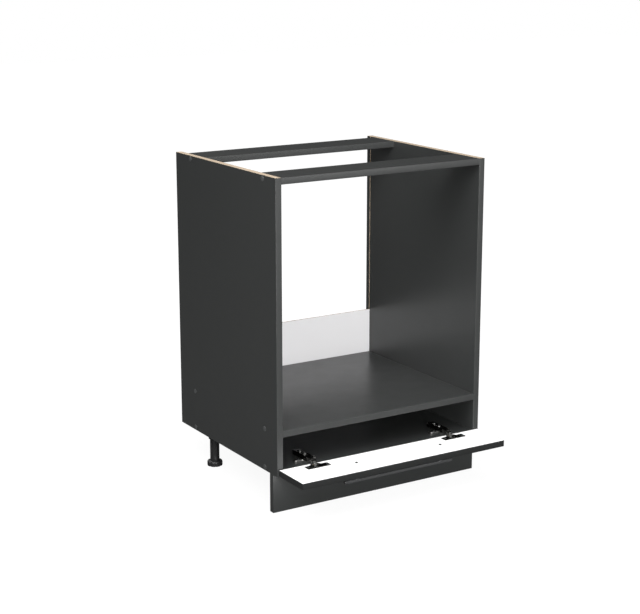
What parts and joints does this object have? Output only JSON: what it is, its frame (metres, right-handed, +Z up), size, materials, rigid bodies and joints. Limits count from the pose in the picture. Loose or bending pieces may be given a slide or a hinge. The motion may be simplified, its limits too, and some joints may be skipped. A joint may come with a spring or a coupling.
{
  "type": "oven housing unit",
  "caption": "Floor-standing kitchen cabinet that carries a built-in oven above a fold-down flap with a bar handle, on adjustable legs behind a plinth.",
  "frame": {"origin": "floor level, at the middle of the footprint with the flap open", "axes": "+Z up, +X to the right seen from the front, the front faces -Y"},
  "size_m": [0.602, 0.6118, 0.818],
  "materials": {
    "dark_melamine": "anthracite melamine face on chipboard, fine matt texture",
    "edge_strip": "glued anthracite edge strip, satin",
    "white_board": "white melamine face, satin",
    "handle_coating": "black powder coating, satin",
    "screw_steel": "zinc-plated steel",
    "cap_plastic": "moulded cover cap, matt",
    "dowel_wood": "bare beech",
    "hinge_steel": "black-nickel-plated pressed steel, satin",
    "pin_steel": "dark steel rivet pins",
    "clip_plastic": "moulded black plastic",
    "leg_plastic": "moulded black plastic, slight sheen"
  },
  "bodies": {
    "cabinet": {"assembly_screws": "screw_steel", "back_panel": "white_board", "back_panel_screws": "screw_steel", "bottom_edge_band": "edge_strip", "bottom_panel": "dark_melamine", "bracket_screws": "screw_steel", "front_left_leg_socket": "leg_plastic", "front_left_leg_tube": "leg_plastic", "front_rail_edge_band": "edge_strip", "front_right_leg_socket": "leg_plastic", "front_right_leg_tube": "leg_plastic", "front_top_rail": "dark_melamine", "left_arm_pins": "pin_steel", "left_arm_screws": "screw_steel", "left_edge_band": "edge_strip", "left_hinge_arm": "hinge_steel", "left_mounting_plate": "hinge_steel", "left_plinth_bracket": "clip_plastic", "left_plinth_clip": "clip_plastic", "left_side_panel": "dark_melamine", "oven_shelf": "dark_melamine", "plate_screws": "screw_steel", "plinth_panel": "dark_melamine", "rear_left_leg_socket": "leg_plastic", "rear_left_leg_tube": "leg_plastic", "rear_rail_edge_band": "edge_strip", "rear_right_leg_socket": "leg_plastic", "rear_right_leg_tube": "leg_plastic", "rear_top_rail": "dark_melamine", "right_arm_pins": "pin_steel", "right_arm_screws": "screw_steel", "right_edge_band": "edge_strip", "right_hinge_arm": "hinge_steel", "right_mounting_plate": "hinge_steel", "right_plinth_bracket": "clip_plastic", "right_plinth_clip": "clip_plastic", "right_side_panel": "dark_melamine", "screw_caps": "cap_plastic", "shelf_edge_band": "edge_strip", "socket_screws": "screw_steel", "wooden_dowels": "dowel_wood"},
    "flap": {"flap_panel": "white_board", "flap_edge_bands": "edge_strip", "bar_handle": "handle_coating", "handle_screws": "screw_steel", "left_hinge_cup": "hinge_steel", "right_hinge_cup": "hinge_steel", "left_cup_pins": "pin_steel", "right_cup_pins": "pin_steel", "cup_screws": "screw_steel"},
    "outer_links": {"left_outer_link": "hinge_steel", "right_outer_link": "hinge_steel"},
    "inner_links": {"left_inner_link": "hinge_steel", "right_inner_link": "hinge_steel"},
    "front_left_foot": {"front_left_screw_foot": "leg_plastic"},
    "front_right_foot": {"front_right_screw_foot": "leg_plastic"},
    "rear_left_foot": {"rear_left_screw_foot": "leg_plastic"},
    "rear_right_foot": {"rear_right_screw_foot": "leg_plastic"}
  },
  "joints": [
    {"name": "outer_link_swing", "type": "hinge", "parent": "cabinet", "child": "outer_links", "pos_m": [0, -0.18118, 0.12505], "axis": [1, 0, 0], "range_deg": [0, 20.61]},
    {"name": "flap_fold", "type": "hinge", "parent": "outer_links", "child": "flap", "pos_m": [0, -0.20405, 0.1133], "axis": [-1, 0, 0], "range_deg": [0, 110.61]},
    {"name": "inner_link_swing", "type": "hinge", "parent": "cabinet", "child": "inner_links", "pos_m": [0, -0.20386, 0.12212], "axis": [1, 0, 0], "range_deg": [0, 26.94]},
    {"name": "front_left_foot_screw", "type": "slide", "parent": "cabinet", "child": "front_left_foot", "axis": [0, 0, -1], "range_m": [0, 0.02]},
    {"name": "front_right_foot_screw", "type": "slide", "parent": "cabinet", "child": "front_right_foot", "axis": [0, 0, -1], "range_m": [0, 0.02]},
    {"name": "rear_left_foot_screw", "type": "slide", "parent": "cabinet", "child": "rear_left_foot", "axis": [0, 0, -1], "range_m": [0, 0.02]},
    {"name": "rear_right_foot_screw", "type": "slide", "parent": "cabinet", "child": "rear_right_foot", "axis": [0, 0, -1], "range_m": [0, 0.02]}
  ],
  "couplings": [
    {"joint": "outer_link_swing", "follows": "flap_fold", "ratio": 0.18634},
    {"joint": "inner_link_swing", "follows": "flap_fold", "ratio": 0.24358}
  ]
}
